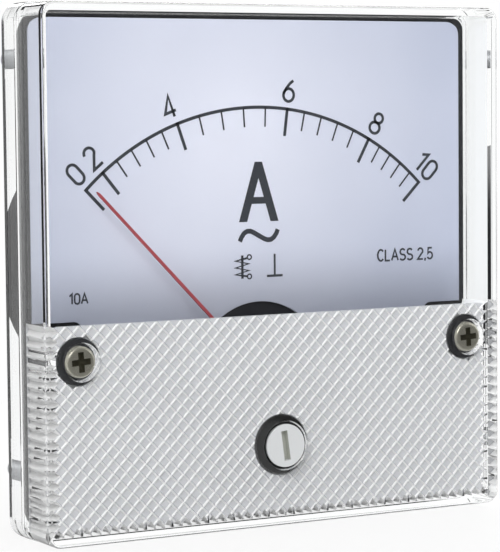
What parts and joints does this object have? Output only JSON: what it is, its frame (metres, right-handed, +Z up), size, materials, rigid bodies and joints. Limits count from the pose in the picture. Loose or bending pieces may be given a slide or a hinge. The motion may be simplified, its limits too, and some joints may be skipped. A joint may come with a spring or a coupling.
{
  "type": "analog panel meter",
  "caption": "Square analog ammeter for a panel, with a clear prismatic cover, curved scale, red pointer, zero adjuster, round rear case, mounting studs and rear terminals.",
  "frame": {"origin": "centre of the panel plane, on the axis of the round rear case", "axes": "+Z up along the dial, +X to the viewer's right, +Y from the face through the panel towards the terminals, so the face looks along -Y"},
  "size_m": [0.08, 0.0487, 0.08],
  "materials": {
    "clear_plastic": "gloss",
    "screw_nickel": "satin",
    "film_polyester": "satin",
    "black_plastic": "satin",
    "dial_paint": "matte",
    "black_plate": "satin",
    "frame_plate": "satin",
    "black_bush": "gloss",
    "white_plastic": "satin",
    "brass": "satin",
    "spring_bronze": "satin",
    "red_paint": "satin",
    "steel": "satin",
    "bobbin_plastic": "matte",
    "copper_wire": "gloss",
    "soft_iron": "satin",
    "vane_aluminium": "satin",
    "magnet": "matte"
  },
  "bodies": {
    "housing": {"front_cover": "clear_plastic", "masking_film": "film_polyester", "cover_screw_left": "screw_nickel", "cover_screw_right": "screw_nickel", "rear_case": "black_plastic", "dial_plate": "dial_paint", "dial_screw_left": "screw_nickel", "dial_screw_right": "screw_nickel", "movement_frame": "black_plate", "frame_screw_left": "screw_nickel", "frame_screw_right": "screw_nickel", "adjuster_bush": "black_bush", "front_bridge": "frame_plate", "front_bridge_screw_left": "screw_nickel", "front_bridge_screw_right": "screw_nickel", "front_bearing_screw": "brass", "front_lock_nut": "brass", "coil_bobbin": "bobbin_plastic", "coil_winding": "copper_wire", "fixed_vane": "soft_iron", "brake_magnet": "magnet", "rear_bridge": "frame_plate", "rear_bridge_screw_left": "screw_nickel", "rear_bridge_screw_right": "screw_nickel", "rear_bearing_screw": "brass", "rear_lock_nut": "brass", "coil_lead_left": "copper_wire", "coil_lead_right": "copper_wire", "terminal_stud_left": "brass", "terminal_stud_right": "brass", "terminal_washer_left": "brass", "terminal_washer_right": "brass", "terminal_lock_washer_left": "steel", "terminal_lock_washer_right": "steel", "terminal_nut_left": "brass", "terminal_nut_right": "brass", "mounting_stud_1": "steel", "mounting_stud_2": "steel", "mounting_stud_3": "steel", "mounting_stud_4": "steel"},
    "adjuster": {"zero_adjuster": "white_plastic"},
    "lever": {"zero_lever": "brass", "hairspring": "spring_bronze"},
    "movement": {"pointer": "red_paint", "balance_weights": "brass", "spindle": "steel", "hairspring_collet": "brass", "moving_vane": "soft_iron", "damping_vane": "vane_aluminium"}
  },
  "joints": [
    {"name": "adjuster_turn", "type": "hinge", "parent": "housing", "child": "adjuster", "pos_m": [0, -0.0138, -0.0274], "axis": [0, 1, 0], "range_deg": [-40, 40]},
    {"name": "lever_turn", "type": "hinge", "parent": "housing", "child": "lever", "pos_m": [0, -0.0091, -0.0175], "axis": [0, 1, 0], "range_deg": [-7, 7]},
    {"name": "pointer_swing", "type": "hinge", "parent": "lever", "child": "movement", "pos_m": [0, -0.0074, -0.0175], "axis": [0, 1, 0], "range_deg": [-3, 92], "stiffness_Nm_per_rad": 0.00005}
  ],
  "couplings": [
    {"joint": "lever_turn", "follows": "adjuster_turn", "ratio": -0.175}
  ]
}
